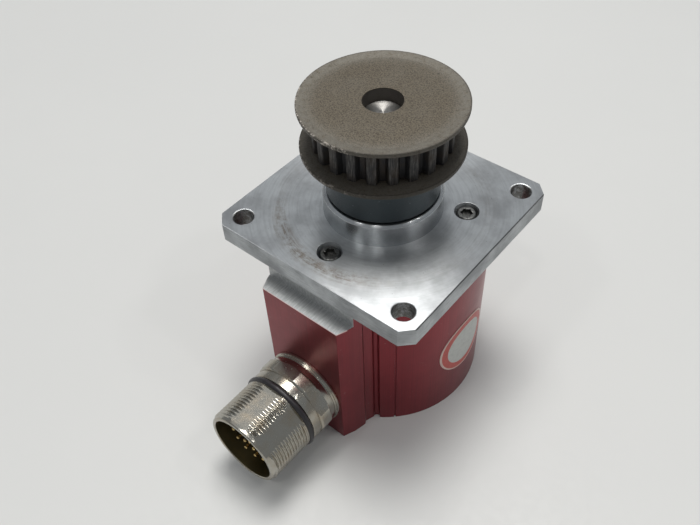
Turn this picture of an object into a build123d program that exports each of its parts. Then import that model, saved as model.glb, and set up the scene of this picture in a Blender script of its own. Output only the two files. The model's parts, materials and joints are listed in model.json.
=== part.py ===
from build123d import *
import os
from math import cos, pi, radians, sin, sqrt, tan

# Rotary encoder with a square mounting flange and a toothed belt pulley on its shaft.
# Frame: origin in the middle of the mounting face, +Z out along the shaft, connector towards -Y.
# All sizes are millimetres, all angles degrees.
os.makedirs("parts", exist_ok=True)

# Fits
thread_gap = 0.03  # radial gap of a screw in its thread
slide_gap = 0.05  # radial gap of a located but fixed piece
hole_gap = 0.1  # radial gap of a screw in a clearance hole
seat_gap = 0.005  # radial gap of a bearing ring on its seat
running_gap = 0.03  # radial gap between surfaces that turn on each other
groove_gap = 0.05  # gap beside a ring in its groove
end_gap = 0.1  # gap at the end of a piece that mustn't bottom out

# Square flange
flange_width = 63.5
flange_thickness = 5.6
flange_corner = 3.1
flange_edge = 0.25
bolt_spacing = 52.4
bolt_hole_radius = 2.75
pilot_radius = 15.875
pilot_height = 6.8
pilot_edge = 0.7
flange_screw_circle = 22.0
flange_screw_start = -90.0  # direction of the first of the three screws
flange_bore_radius = 7.0
flange_recess_radius = 15.0
flange_recess_depth = 1.6

# Screws
m3_radius = 1.5
m3_head_radius = 2.8
m3_head_height = 2.1
m3_head_edge = 0.5
m3_length = 8.0
head_sink = 0.5  # how far a flange screw's head lies below the mounting face
counterbore_radius = 3.3
drive_radius = 1.35
drive_depth = 1.3
drive_lobe_radius = 0.32

# Shaft
shaft_radius = 5.0
shaft_reach = 29.6
shaft_edge = 0.5
collar_step = 1.3  # collar's radius over the shaft's
collar_height = 1.8
collar_clear = 0.2  # collar to the flange's underside
journal_step = 1.0  # journal's radius under the shaft's
shaft_tail = 5.6
tail_edge = 0.4
ring_groove_depth = 0.2

# Pulley
pulley_teeth = 22
belt_pitch = 5.08
pitch_line_offset = 0.254  # belt's pitch line above the tooth tips
tooth_depth = 1.65
gap_floor_width = 1.32
gap_flank_angle = 25.0
gap_phase = -52.8  # direction of one tooth gap
gap_over = 1.0  # how far the gap's cutter reaches past the tooth tips
rim_overhang = 3.2  # rim's radius over the tooth tips
rim_sheet = 1.1
rim_flat = 0.5  # flat part of the overhang
rim_bend_rise = 0.4
pulley_face = 10.1
hub_radius = 14.85
hub_height = 13.6
hub_edge = 0.3
hub_gap = 0.3  # hub to the top of the pilot
set_screw_radius = 2.0
set_screw_angles = (90.0, 180.0)
set_screw_height = 4.1  # above the hub's lower end
set_screw_sink = 0.4  # outer end below the hub's surface
hex_key_radius = 1.15
hex_key_depth = 2.0

# Ball bearings
bearing_outer = 13.0
bearing_width = 8.0
bearing_spread = 4.0  # length of the two spacers
ball_radius = 2.38
ball_count = 7
race_depth = 0.78  # how deep the balls sit in each ring
cage_wall = 1.3
cage_side = 0.52  # cage beside a ball
cage_pocket_gap = 0.05
shield_thickness = 0.3
shield_inset = 0.3
shield_gap = 0.1  # shield to the turning ring
ring_edge = 0.4
spacer_step = 0.4  # how far the spacers stay clear of the shields

# Shaft seal
seal_outer = 11.0
seal_height = 6.0
seal_sink = 0.4
seal_wall = 1.0
seal_mouth = 1.6  # radial opening over the shaft at the top
seal_dust_gap = 0.5
seal_dust_depth = 1.4
seal_lip_depth = 2.6
seal_lip_rise = 0.7
seal_lip_end = 4.2
seal_lip_back = 1.9
seal_spring_radius = 0.35
seal_spring_depth = 3.2

# Bearing carrier
carrier_plate = 6.0
barrel_gap = 0.5  # bearing barrel to the posts
carrier_lip = 2.5  # how far the lip stands in front of the outer ring
blind_end = 0.4  # carrier plate left over a threaded hole
retaining_thickness = 1.0
retaining_groove_depth = 0.8
retaining_width = 2.1
retaining_opening = 5.0
retaining_ear = 1.6
retaining_eye = 0.7
retaining_ear_side = 4.0
shaft_ring_width = 1.5
shaft_ring_opening = 2.2
preload_space = 1.0
spring_sheet = 0.4
spring_inset = 0.2
spring_lift = 0.5
barrel_rest = 0.6  # barrel behind the retaining ring
seal_cord_radius = 0.7
seal_cord_squeeze = 0.04
cord_level = 3.0  # housing seal ring below the flange

# Housing
housing_radius = 29.0
housing_length = 53.3
housing_wall = 2.2
tower_stand = 6.1  # tower's front over the round body
tower_side = 0.55  # tower's front over the connector's base
tower_shoulder_width = 1.5
tower_shoulder_depth = 3.5
tower_ledge_width = 2.35  # side's widest place before it steps in
tower_ledge_depth = 7.1
tower_ledge_step = 0.5
tower_ledge_run = 0.9
tower_root_width = 3.1
tower_root_depth = 11.8
tower_wall = 2.4
chamber_wall = 1.7
chamber_rise = 12.9  # chamber's roof over the connector's axis
notch_height = 5.2
notch_depth = 4.6
wide_groove_angle = 56.4
wide_groove_radius = 0.9
thin_groove_angle = 45.9
thin_groove_width = 0.5
thin_groove_depth = 0.5

# Rear cover
cover_thickness = 2.4
cover_ledge = 1.0
cover_gap = 0.1
gasket_thickness = 0.5

# Posts and boards
post_inset = 3.3  # post's axis inside the housing's bore
post_angles = (90.0, 210.0, 330.0)
post_flats = 5.0
post_stud = 3.5
post_stud_radius = 1.25
stud_hole_rest = 1.0  # threaded hole deeper than the stud
board_thickness = 1.6
board_gap = 0.6  # board's edge to the housing's bore
board_front_gap = 5.8  # board's straight edge to the housing's bore
board_bore_radius = 3.0
board_spacing = 8.0
cover_screw_length = 6.0
cover_key_depth = 1.2
countersink_radius = 2.9

# Code disc
disc_hub_clear = 0.6  # hub to the end of the bearing barrel
disc_hub_length = 3.6
disc_boss_wall = 2.9
disc_seat_width = 2.1
disc_gap = 2.0  # disc's edge to the posts
disc_thickness = 1.0
clamp_thickness = 1.0
clamp_bore_step = 1.0
m1_radius = 0.5
m1_head_radius = 0.95
m1_head_height = 0.6
clamp_screw_length = 3.2
m2_radius = 1.0
m2_head_radius = 1.6
m2_head_height = 0.7
hub_screw_sink = 0.3

# Light source and sensor
scan_inset = 2.0  # scanned track inside the disc's edge
scan_angle = 30.0
scan_gap = 0.4  # reticle to the disc
lamp_radius = 2.0
lamp_height = 1.0
lens_height = 0.9
lens_edge = 0.35
holder_width = 14.0
holder_depth = 6.2
holder_height = 3.2
holder_screw_spread = 5.2
holder_screw_bite = 3.5
holder_hole_depth = 4.0
lead_slot_depth = 0.8
lead_radius = 0.25
lead_overhang = 5.6  # lead's drop outside the scanned track
lead_spread = 1.3
lead_start = 0.4
lead_bend = 1.0
chip_width = 10.0
chip_depth = 8.0
chip_height = 1.6
reticle_width = 7.0
reticle_depth = 6.0
reticle_height = 0.6

# Parts on the main board
main_chips = ((-9.0, 4.0, 10.0, 10.0), (6.0, 12.0, 7.0, 5.0), (-6.0, -9.0, 5.0, 6.0))
main_chip_height = 1.4
capacitor_places = ((14.0, 2.0), (14.0, -6.0))
capacitor_radius = 2.5
capacitor_height = 5.4
capacitor_edge = 0.4
link_place = (-6.0, 18.0)
link_width = 12.0
link_depth = 4.0

# Connector
connector_rise = 15.5  # axis above the housing's lower end
thread_radius = 11.5
thread_pitch = 1.0
thread_crests = 12
thread_depth = 0.55
thread_run_out = 0.5
base_step = 0.45  # base's radius over the thread's
base_length = 1.1
neck_step = 0.15
neck_length = 2.6
neck_groove_place = 0.6
neck_groove_depth = 0.25
neck_groove_width = 0.35
hex_flat_step = 0.35
hex_corner_step = 1.0
hex_length = 4.1
hex_turn = 7.0
hex_edge = 0.45
shoulder_step = 0.25
shoulder_length = 2.7
ring_cord_radius = 0.9
ring_centre_depth = 0.3  # below the thread's crests
lip_depth = 0.45
lip_length = 1.2
lip_edge = 0.3
turned_edge = 0.2
socket_wall = 1.6
socket_depth = 10.4
thread_flat_depth = 0.55
thread_flat_angles = (45.0, 92.0, 225.0, 272.0)
tail_step = 2.5  # tail's radius under the thread's
tail_length = 5.6
tail_wall = 1.3
base_seal_depth = 0.7
base_seal_inset = 0.6
base_seal_width = 1.2
nut_wall = 1.4
nut_length = 3.0
nut_slots = 4
nut_slot_depth = 0.8
nut_slot_width = 3.0
insert_gap = 0.1
insert_step = 4.5
pin_radius = 0.5
pin_tip_depth = 2.8
pin_ring_counts = (11, 5, 1)
pin_ring_radii = (6.3, 2.8, 0.0)
pin_ring_phases = (-49.0, -70.0, 0.0)
pin_tail = 0.5
pin_edge = 0.2
pin_gap = 0.01
tail_board_inset = 0.2
tail_board_thickness = 1.2
ribbon_width = 10.0
ribbon_sheet = 0.25
ribbon_drop = 7.8  # below the connector's axis
ribbon_run = 1.6
ribbon_bend = 1.5
ribbon_lead_in = 2.0
header_height = 2.4
header_width = 14.0
header_depth = 4.0

# Label
label_radius = 9.95
label_thickness = 0.15
label_drop = 30.55  # centre below the flange underside

# Levels along Z
flange_bottom = -flange_thickness
housing_bottom = flange_bottom - housing_length
seal_top = pilot_height - seal_sink
seal_bottom = seal_top - seal_height
carrier_bottom = flange_bottom - carrier_plate
cord_z = flange_bottom - cord_level
collar_top = flange_bottom - collar_clear
front_bearing_top = collar_top - collar_height
rear_bearing_top = front_bearing_top - bearing_width - bearing_spread
bearings_end = rear_bearing_top - bearing_width
ring_slot_top = bearings_end - preload_space
ring_slot_bottom = ring_slot_top - retaining_thickness - groove_gap
barrel_end = ring_slot_top - retaining_thickness - barrel_rest
journal_top = bearings_end - 2 * retaining_thickness
journal_end = journal_top - shaft_tail
hub_bottom = pilot_height + hub_gap
lower_rim_bottom = hub_bottom + hub_height
tooth_bottom = lower_rim_bottom + rim_sheet
tooth_top = tooth_bottom + pulley_face
pulley_top = tooth_top + rim_sheet
disc_top = barrel_end - disc_hub_clear - disc_hub_length
disc_middle = disc_top + disc_hub_length / 2
disc_bottom = disc_top - disc_thickness
clamp_bottom = disc_bottom - clamp_thickness
sensor_board_top = disc_bottom - scan_gap - reticle_height - chip_height
sensor_board_bottom = sensor_board_top - board_thickness
main_board_top = sensor_board_bottom - board_spacing
main_board_bottom = main_board_top - board_thickness
cover_top = housing_bottom + cover_thickness
gasket_top = cover_top + gasket_thickness
connector_level = housing_bottom + connector_rise
chamber_top = connector_level + chamber_rise
label_level = flange_bottom - label_drop
header_level = main_board_bottom - header_height / 2
ribbon_level = connector_level - ribbon_drop

# Radii that follow from the sizes above
collar_radius = shaft_radius + collar_step
journal_radius = shaft_radius - journal_step
ball_circle = (shaft_radius + bearing_outer) / 2
bearing_land = ball_circle - ball_radius + race_depth
bearing_shoulder = ball_circle + ball_radius - race_depth
pulley_radius = pulley_teeth * belt_pitch / (2 * pi) - pitch_line_offset
rim_bend_radius = pulley_radius + rim_flat
rim_radius = pulley_radius + rim_overhang
bore_radius = housing_radius - housing_wall
carrier_radius = bore_radius - slide_gap
post_circle = bore_radius - post_inset
post_inside = post_circle - post_flats / 2
barrel_radius = post_inside - barrel_gap
disc_radius = post_inside - disc_gap
board_radius = bore_radius - board_gap
board_front = bore_radius - board_front_gap
disc_boss_radius = journal_radius + disc_boss_wall
disc_hub_radius = disc_boss_radius + disc_seat_width
clamp_screw_circle = (disc_boss_radius + disc_hub_radius) / 2
scan_circle = disc_radius - scan_inset
base_radius = thread_radius + base_step
neck_radius = thread_radius + neck_step
hex_half_flats = thread_radius + hex_flat_step
hex_corner_radius = thread_radius + hex_corner_step
shoulder_radius = thread_radius + shoulder_step
ring_centre_radius = thread_radius - ring_centre_depth
lip_radius = thread_radius - lip_depth
socket_radius = thread_radius - socket_wall
thread_flat_radius = thread_radius - thread_flat_depth
tail_radius = thread_radius - tail_step
tail_bore = tail_radius - tail_wall
base_seal_inner = tail_radius + base_seal_inset
base_seal_outer = base_seal_inner + base_seal_width
nut_radius = tail_radius + nut_wall
insert_tail_radius = tail_bore - insert_gap
tail_board_radius = tail_radius - tail_board_inset
tower_half_front = base_radius + tower_side
tower_half_shoulder = tower_half_front + tower_shoulder_width
tower_half_ledge = tower_half_front + tower_ledge_width
tower_half_step = tower_half_ledge - tower_ledge_step
tower_half_root = tower_half_front + tower_root_width
chamber_half = tower_half_front - chamber_wall

# Reaches towards -Y along the connector
tower_reach = housing_radius + tower_stand
tower_shoulder_reach = tower_reach - tower_shoulder_depth
tower_ledge_reach = tower_reach - tower_ledge_depth
tower_step_reach = tower_ledge_reach - tower_ledge_run
tower_root_reach = tower_reach - tower_root_depth
thread_length = thread_crests * thread_pitch + 2 * thread_run_out
base_front = tower_reach + base_length
hex_back = base_front + neck_length
hex_front = hex_back + hex_length
shoulder_front = hex_front + shoulder_length
ring_groove_front = shoulder_front + 2 * ring_cord_radius
lip_back = ring_groove_front + thread_length
mouth = lip_back + lip_length
insert_front = mouth - socket_depth
tail_end = tower_reach - tail_length
board_end = tail_end - end_gap
pin_start = board_end - tail_board_thickness - pin_tail

# Planes and axes used more than once
connector_plane = Plane(origin=(0, 0, connector_level), x_dir=(1, 0, 0), z_dir=(0, -1, 0))
connector_profile = Plane(origin=(0, 0, connector_level), x_dir=(0, -1, 0), z_dir=(-1, 0, 0))
connector_axis = Axis((0, 0, connector_level), (0, -1, 0))
scan_direction = (cos(radians(scan_angle)), sin(radians(scan_angle)), 0)
scan_x = scan_circle * scan_direction[0]
scan_y = scan_circle * scan_direction[1]
holder_plane = Plane(origin=(scan_x, scan_y, barrel_end), x_dir=scan_direction)
sensor_plane = Plane(origin=(scan_x, scan_y, sensor_board_top), x_dir=scan_direction)


def save(part, label):
    """Names a finished piece and writes it as its own STEP file."""
    part.label = label
    export_step(part, f"parts/{label}.step")


def polar(radius, angle):
    """A point of the XY plane given by its radius and direction."""
    return (radius * cos(radians(angle)), radius * sin(radians(angle)))


def connector_side(reach):
    """The plane across the connector's axis at a distance from the shaft's axis, facing out."""
    return connector_plane.offset(reach)


# Square flange with its three screws
with BuildPart() as square_flange:
    with BuildSketch(Plane.XY.offset(flange_bottom)):
        Rectangle(flange_width, flange_width)
    extrude(amount=flange_thickness)
    chamfer(square_flange.edges().filter_by(Axis.Z), flange_corner)
    with BuildSketch():
        Circle(pilot_radius)
    extrude(amount=pilot_height)
    chamfer(square_flange.faces().sort_by(Axis.Z)[-1].edges(), pilot_edge)
    with BuildSketch(Plane.XY.offset(pilot_height)):
        Circle(seal_outer + seat_gap)
    extrude(amount=-seal_sink - seal_height, mode=Mode.SUBTRACT)
    with BuildSketch(Plane.XY.offset(flange_bottom)):
        Circle(flange_recess_radius)
    extrude(amount=flange_recess_depth, mode=Mode.SUBTRACT)
    with BuildSketch(Plane.XY.offset(flange_bottom)):
        Circle(flange_bore_radius)
    extrude(amount=flange_thickness + pilot_height, mode=Mode.SUBTRACT)
    with GridLocations(bolt_spacing, bolt_spacing, 2, 2):
        Hole(bolt_hole_radius)
    hole_rims = square_flange.edges().filter_by(GeomType.CIRCLE)
    chamfer(hole_rims.filter_by(lambda e: abs(e.radius - bolt_hole_radius) < 0.01), flange_edge)
    with PolarLocations(flange_screw_circle, 3, start_angle=flange_screw_start):
        CounterBoreHole(m3_radius + hole_gap, counterbore_radius, head_sink + m3_head_height)
save(square_flange.part, "square_flange")

with BuildPart() as flange_screws:
    with PolarLocations(flange_screw_circle, 3, start_angle=flange_screw_start):
        with Locations((0, 0, -head_sink - m3_head_height)):
            Cylinder(m3_head_radius, m3_head_height, align=(Align.CENTER, Align.CENTER, Align.MIN))
    chamfer(flange_screws.edges().group_by(Axis.Z)[-1], m3_head_edge)
    with BuildSketch(Plane.XY.offset(-head_sink)):
        with PolarLocations(flange_screw_circle, 3, start_angle=flange_screw_start):
            Circle(drive_radius)
            with PolarLocations(drive_radius, 6):
                Circle(drive_lobe_radius)
    extrude(amount=-drive_depth, mode=Mode.SUBTRACT)
    with BuildSketch(Plane.XY.offset(-head_sink - m3_head_height)):
        with PolarLocations(flange_screw_circle, 3, start_angle=flange_screw_start):
            Circle(m3_radius)
    extrude(amount=-m3_length)
save(flange_screws.part, "flange_screws")

# Radial shaft seal
with BuildPart() as shaft_seal:
    with BuildSketch(Plane.XZ):
        with BuildLine():
            Polyline(
                (seal_outer, seal_bottom),
                (seal_outer, seal_top),
                (shaft_radius + seal_mouth, seal_top),
                (shaft_radius + seal_dust_gap, seal_top - seal_dust_depth),
                (shaft_radius + running_gap, seal_top - seal_lip_depth),
                (shaft_radius + seal_lip_rise, seal_top - seal_lip_end),
                (shaft_radius + seal_lip_back, seal_top - seal_lip_end),
                (shaft_radius + seal_lip_back, seal_top - seal_wall),
                (seal_outer - seal_wall, seal_top - seal_wall),
                (seal_outer - seal_wall, seal_bottom),
                close=True,
            )
        make_face()
    revolve(axis=Axis.Z)
save(shaft_seal.part, "shaft_seal")

with BuildPart() as seal_spring:
    with BuildSketch(Plane.XZ):
        with Locations((shaft_radius + seal_lip_back + seal_spring_radius, seal_top - seal_spring_depth)):
            Circle(seal_spring_radius)
    revolve(axis=Axis.Z)
save(seal_spring.part, "seal_spring")

# Bearing carrier
with BuildPart() as bearing_carrier:
    with BuildSketch(Plane.XY.offset(carrier_bottom)):
        Circle(carrier_radius)
    extrude(amount=carrier_plate)
    with BuildSketch(Plane.XY.offset(flange_bottom)):
        Circle(flange_recess_radius - slide_gap)
    extrude(amount=flange_recess_depth - end_gap)
    with BuildSketch(Plane.XY.offset(barrel_end)):
        Circle(barrel_radius)
    extrude(amount=carrier_bottom - barrel_end)
    with BuildSketch(Plane.XY.offset(barrel_end)):
        Circle(bearing_outer - carrier_lip)
    extrude(amount=flange_bottom + flange_recess_depth - barrel_end, mode=Mode.SUBTRACT)
    with BuildSketch(Plane.XY.offset(barrel_end)):
        Circle(bearing_outer + seat_gap)
    extrude(amount=front_bearing_top - barrel_end, mode=Mode.SUBTRACT)
    with BuildSketch(Plane.XY.offset(ring_slot_bottom)):
        Circle(bearing_outer + retaining_groove_depth + end_gap)
    extrude(amount=ring_slot_top - ring_slot_bottom, mode=Mode.SUBTRACT)
    with BuildSketch(Plane.XY.offset(cord_z - seal_cord_radius - end_gap)):
        Circle(bore_radius)
        Circle(bore_radius - 2 * seal_cord_radius - end_gap, mode=Mode.SUBTRACT)
    extrude(amount=2 * (seal_cord_radius + end_gap), mode=Mode.SUBTRACT)
    with BuildSketch(Plane.XY.offset(flange_bottom)):
        with PolarLocations(flange_screw_circle, 3, start_angle=flange_screw_start):
            Circle(m3_radius + thread_gap)
    extrude(amount=blind_end - carrier_plate, mode=Mode.SUBTRACT)
    with BuildSketch(Plane.XY.offset(carrier_bottom)):
        for angle in post_angles:
            with Locations(polar(post_circle, angle)):
                Circle(post_stud_radius + thread_gap)
    extrude(amount=post_stud + end_gap, mode=Mode.SUBTRACT)
    with BuildSketch(holder_plane):
        with Locations((0, holder_screw_spread), (0, -holder_screw_spread)):
            Circle(m2_radius + thread_gap)
    extrude(amount=holder_hole_depth, mode=Mode.SUBTRACT)
save(bearing_carrier.part, "bearing_carrier")

with BuildPart() as front_housing_seal:
    with BuildSketch(Plane.XZ):
        with Locations((bore_radius - seal_cord_radius - seal_cord_squeeze, cord_z)):
            Circle(seal_cord_radius)
    revolve(axis=Axis.Z)
save(front_housing_seal.part, "front_housing_seal")


# Ball bearings
def bearing(name, top):
    """One deep groove ball bearing, written as five nodes."""
    middle = top - bearing_width / 2
    race = ball_radius + running_gap
    pocket = ball_radius + cage_pocket_gap
    cage_height = 2 * (ball_radius + cage_side)
    with BuildPart() as outer_ring:
        with BuildSketch(Plane.XZ):
            with Locations(((bearing_shoulder + bearing_outer) / 2, middle)):
                Rectangle(bearing_outer - bearing_shoulder, bearing_width)
            with Locations((ball_circle, middle)):
                Circle(race, mode=Mode.SUBTRACT)
        revolve(axis=Axis.Z)
        outer_rims = outer_ring.edges().filter_by(GeomType.CIRCLE)
        fillet(outer_rims.filter_by(lambda e: e.radius > bearing_outer - 0.01), ring_edge)
    save(outer_ring.part, f"{name}_bearing_outer_ring")
    with BuildPart() as inner_ring:
        with BuildSketch(Plane.XZ):
            with Locations(((bearing_land + shaft_radius) / 2, middle)):
                Rectangle(bearing_land - shaft_radius, bearing_width)
            with Locations((ball_circle, middle)):
                Circle(race, mode=Mode.SUBTRACT)
        revolve(axis=Axis.Z)
    save(inner_ring.part, f"{name}_bearing_inner_ring")
    with BuildPart() as cage:
        with BuildSketch(Plane.XY.offset(middle - cage_height / 2)):
            Circle(ball_circle + cage_wall / 2)
            Circle(ball_circle - cage_wall / 2, mode=Mode.SUBTRACT)
        extrude(amount=cage_height)
        with Locations((0, 0, middle)):
            with PolarLocations(ball_circle, ball_count):
                Cylinder(pocket, 2 * cage_wall, rotation=(0, 90, 0), mode=Mode.SUBTRACT)
    save(cage.part, f"{name}_bearing_cage")
    with BuildPart() as balls:
        with Locations((0, 0, middle)):
            with PolarLocations(ball_circle, ball_count):
                Sphere(ball_radius)
    save(balls.part, f"{name}_bearing_balls")
    shield_levels = (top - shield_inset - shield_thickness, top - bearing_width + shield_inset)
    with BuildPart() as shields:
        for level in shield_levels:
            with BuildSketch(Plane.XY.offset(level)):
                Circle(bearing_shoulder - seat_gap)
                Circle(bearing_land + shield_gap, mode=Mode.SUBTRACT)
            extrude(amount=shield_thickness)
    save(shields.part, f"{name}_bearing_shields")


bearing("front", front_bearing_top)
bearing("rear", rear_bearing_top)

with BuildPart() as inner_spacer:
    with BuildSketch(Plane.XY.offset(rear_bearing_top)):
        Circle(bearing_land - spacer_step)
        Circle(shaft_radius, mode=Mode.SUBTRACT)
    extrude(amount=bearing_spread)
save(inner_spacer.part, "inner_spacer")

with BuildPart() as outer_spacer:
    with BuildSketch(Plane.XY.offset(rear_bearing_top)):
        Circle(bearing_outer - slide_gap)
        Circle(bearing_shoulder + spacer_step, mode=Mode.SUBTRACT)
    extrude(amount=bearing_spread)
save(outer_spacer.part, "outer_spacer")

# A conical preload spring between the rear outer ring and the retaining ring
with BuildPart() as preload_spring:
    with BuildSketch(Plane.XZ):
        with BuildLine():
            Polyline(
                (bearing_outer - spring_inset, bearings_end),
                (bearing_outer - spring_inset, bearings_end - spring_sheet),
                (bearing_shoulder + spring_lift, ring_slot_top),
                (bearing_shoulder + spring_lift, ring_slot_top + spring_sheet),
                close=True,
            )
        make_face()
    revolve(axis=Axis.Z)
save(preload_spring.part, "preload_spring")

with BuildPart() as carrier_retaining_ring:
    with BuildSketch(Plane.XY.offset(ring_slot_top - retaining_thickness)):
        Circle(bearing_outer + retaining_groove_depth)
        Circle(bearing_outer + retaining_groove_depth - retaining_width, mode=Mode.SUBTRACT)
        with Locations((0, -bearing_outer)):
            Rectangle(retaining_opening, 3 * retaining_width, mode=Mode.SUBTRACT)
        ear_reach = bearing_outer - retaining_groove_depth - retaining_ear
        for side in (-1, 1):
            with Locations((side * retaining_ear_side, -ear_reach)):
                Circle(retaining_ear)
                Circle(retaining_eye, mode=Mode.SUBTRACT)
    extrude(amount=retaining_thickness)
save(carrier_retaining_ring.part, "carrier_retaining_ring")

with BuildPart() as shaft_retaining_ring:
    with BuildSketch(Plane.XY.offset(bearings_end - retaining_thickness)):
        Circle(shaft_radius + shaft_ring_width)
        Circle(shaft_radius - ring_groove_depth, mode=Mode.SUBTRACT)
        with Locations((0, shaft_radius)):
            Rectangle(shaft_ring_opening, 3 * shaft_ring_width, mode=Mode.SUBTRACT)
    extrude(amount=retaining_thickness)
save(shaft_retaining_ring.part, "shaft_retaining_ring")

# Shaft
with BuildPart() as shaft:
    with BuildSketch(Plane.XY.offset(journal_top)):
        Circle(shaft_radius - seat_gap)
    extrude(amount=shaft_reach - journal_top)
    chamfer(shaft.faces().sort_by(Axis.Z)[-1].edges(), shaft_edge)
    with BuildSketch(Plane.XY.offset(front_bearing_top)):
        Circle(collar_radius)
    extrude(amount=collar_height)
    with BuildSketch(Plane.XY.offset(bearings_end)):
        Circle(collar_radius)
        Circle(shaft_radius - ring_groove_depth - seat_gap, mode=Mode.SUBTRACT)
    extrude(amount=-retaining_thickness - groove_gap, mode=Mode.SUBTRACT)
    with BuildSketch(Plane.XY.offset(journal_end)):
        Circle(journal_radius)
    extrude(amount=shaft_tail)
    chamfer(shaft.faces().sort_by(Axis.Z)[0].edges(), tail_edge)
save(shaft.part, "shaft")

def set_screw_plane(radius, angle):
    """The plane across one of the pulley's set screws at a radius, facing out."""
    origin = (*polar(radius, angle), hub_bottom + set_screw_height)
    return Plane(origin=origin, z_dir=(*polar(1, angle), 0))


# Toothed belt pulley
gap_half_floor = gap_floor_width / 2
gap_half_over = gap_half_floor + (tooth_depth + gap_over) * tan(radians(gap_flank_angle))
with BuildPart() as pulley:
    with BuildSketch(Plane.XY.offset(tooth_bottom)):
        Circle(pulley_radius)
        with PolarLocations(0, pulley_teeth, start_angle=gap_phase):
            Polygon(
                (pulley_radius - tooth_depth, -gap_half_floor),
                (pulley_radius + gap_over, -gap_half_over),
                (pulley_radius + gap_over, gap_half_over),
                (pulley_radius - tooth_depth, gap_half_floor),
                align=None,
                mode=Mode.SUBTRACT,
            )
    extrude(amount=pulley_face)
    with BuildSketch(Plane.XY.offset(hub_bottom)):
        Circle(hub_radius)
    extrude(amount=pulley_top - hub_bottom)
    chamfer(pulley.faces().sort_by(Axis.Z)[0].edges(), hub_edge)
    with BuildSketch(Plane.XY.offset(hub_bottom)):
        Circle(shaft_radius)
    extrude(amount=pulley_top - hub_bottom, mode=Mode.SUBTRACT)
    for angle in set_screw_angles:
        with BuildSketch(set_screw_plane(journal_radius, angle)):
            Circle(set_screw_radius + thread_gap)
        extrude(amount=hub_radius, mode=Mode.SUBTRACT)
save(pulley.part, "pulley")


def pulley_rim(label, level, outward):
    """A sheet ring beside the teeth, flat to the tooth tips and bent away from the belt at its edge."""
    far = level + outward * rim_sheet
    bend = outward * rim_bend_rise
    with BuildPart() as rim:
        with BuildSketch(Plane.XZ):
            with BuildLine():
                Polyline(
                    (hub_radius, level),
                    (hub_radius, far),
                    (rim_bend_radius, far),
                    (rim_radius, far + bend),
                    (rim_radius, level + bend),
                    (rim_bend_radius, level),
                    close=True,
                )
            make_face()
        revolve(axis=Axis.Z)
    save(rim.part, label)


pulley_rim("pulley_top_rim", tooth_top, 1)
pulley_rim("pulley_bottom_rim", tooth_bottom, -1)

with BuildPart() as pulley_set_screws:
    for angle in set_screw_angles:
        with BuildSketch(set_screw_plane(shaft_radius, angle)):
            Circle(set_screw_radius)
        extrude(amount=hub_radius - set_screw_sink - shaft_radius)
        with BuildSketch(set_screw_plane(hub_radius - set_screw_sink, angle)):
            RegularPolygon(hex_key_radius, 6)
        extrude(amount=-hex_key_depth, mode=Mode.SUBTRACT)
save(pulley_set_screws.part, "pulley_set_screws")


# Housing and rear cover
def tower_outline():
    """The connector tower's cross-section, from its front face back into the round body."""
    return Polygon(
        (-tower_half_front, -tower_reach),
        (tower_half_front, -tower_reach),
        (tower_half_shoulder, -tower_shoulder_reach),
        (tower_half_ledge, -tower_ledge_reach),
        (tower_half_step, -tower_step_reach),
        (tower_half_root, -tower_root_reach),
        (0, 0),
        (-tower_half_root, -tower_root_reach),
        (-tower_half_step, -tower_step_reach),
        (-tower_half_ledge, -tower_ledge_reach),
        (-tower_half_shoulder, -tower_shoulder_reach),
        align=None,
    )


def cavity_outline(wider):
    """The round bore and the tower chamber in one outline, wider all round by a given amount."""
    chamber_reach = tower_reach - tower_wall + wider
    Circle(bore_radius + wider)
    with Locations((0, -chamber_reach / 2)):
        Rectangle(2 * (chamber_half + wider), chamber_reach)


with BuildPart() as housing:
    with BuildSketch(Plane.XY.offset(housing_bottom)):
        Circle(housing_radius)
        tower_outline()
        for side in (-1, 1):
            with Locations(polar(housing_radius, -90 + side * (90 - wide_groove_angle))):
                Circle(wide_groove_radius, mode=Mode.SUBTRACT)
            thin_angle = -90 + side * (90 - thin_groove_angle)
            with Locations(Location((*polar(housing_radius, thin_angle), 0), (0, 0, thin_angle))):
                Rectangle(2 * thin_groove_depth, thin_groove_width, mode=Mode.SUBTRACT)
    extrude(amount=housing_length)
    with BuildSketch(Plane.XY.offset(housing_bottom)):
        Circle(bore_radius)
    extrude(amount=housing_length, mode=Mode.SUBTRACT)
    with BuildSketch(Plane.XY.offset(housing_bottom)):
        cavity_outline(0)
    extrude(amount=chamber_top - housing_bottom, mode=Mode.SUBTRACT)
    with BuildSketch(Plane.XY.offset(housing_bottom)):
        cavity_outline(cover_ledge)
    extrude(amount=gasket_top - housing_bottom, mode=Mode.SUBTRACT)
    with BuildSketch(Plane.XY.offset(flange_bottom)):
        with Locations((0, -tower_reach)):
            Rectangle(2 * tower_half_root, 2 * notch_depth)
    extrude(amount=-notch_height, mode=Mode.SUBTRACT)
    with BuildSketch(connector_side(tower_reach)):
        Circle(tail_radius + slide_gap)
    extrude(amount=-tower_wall, mode=Mode.SUBTRACT)
save(housing.part, "housing")

with BuildPart() as rear_cover_gasket:
    with BuildSketch(Plane.XY.offset(cover_top)):
        cavity_outline(cover_ledge - cover_gap)
    extrude(amount=gasket_thickness)
    with BuildSketch(Plane.XY.offset(cover_top)):
        cavity_outline(0)
    extrude(amount=gasket_thickness, mode=Mode.SUBTRACT)
save(rear_cover_gasket.part, "rear_cover_gasket")

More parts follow.
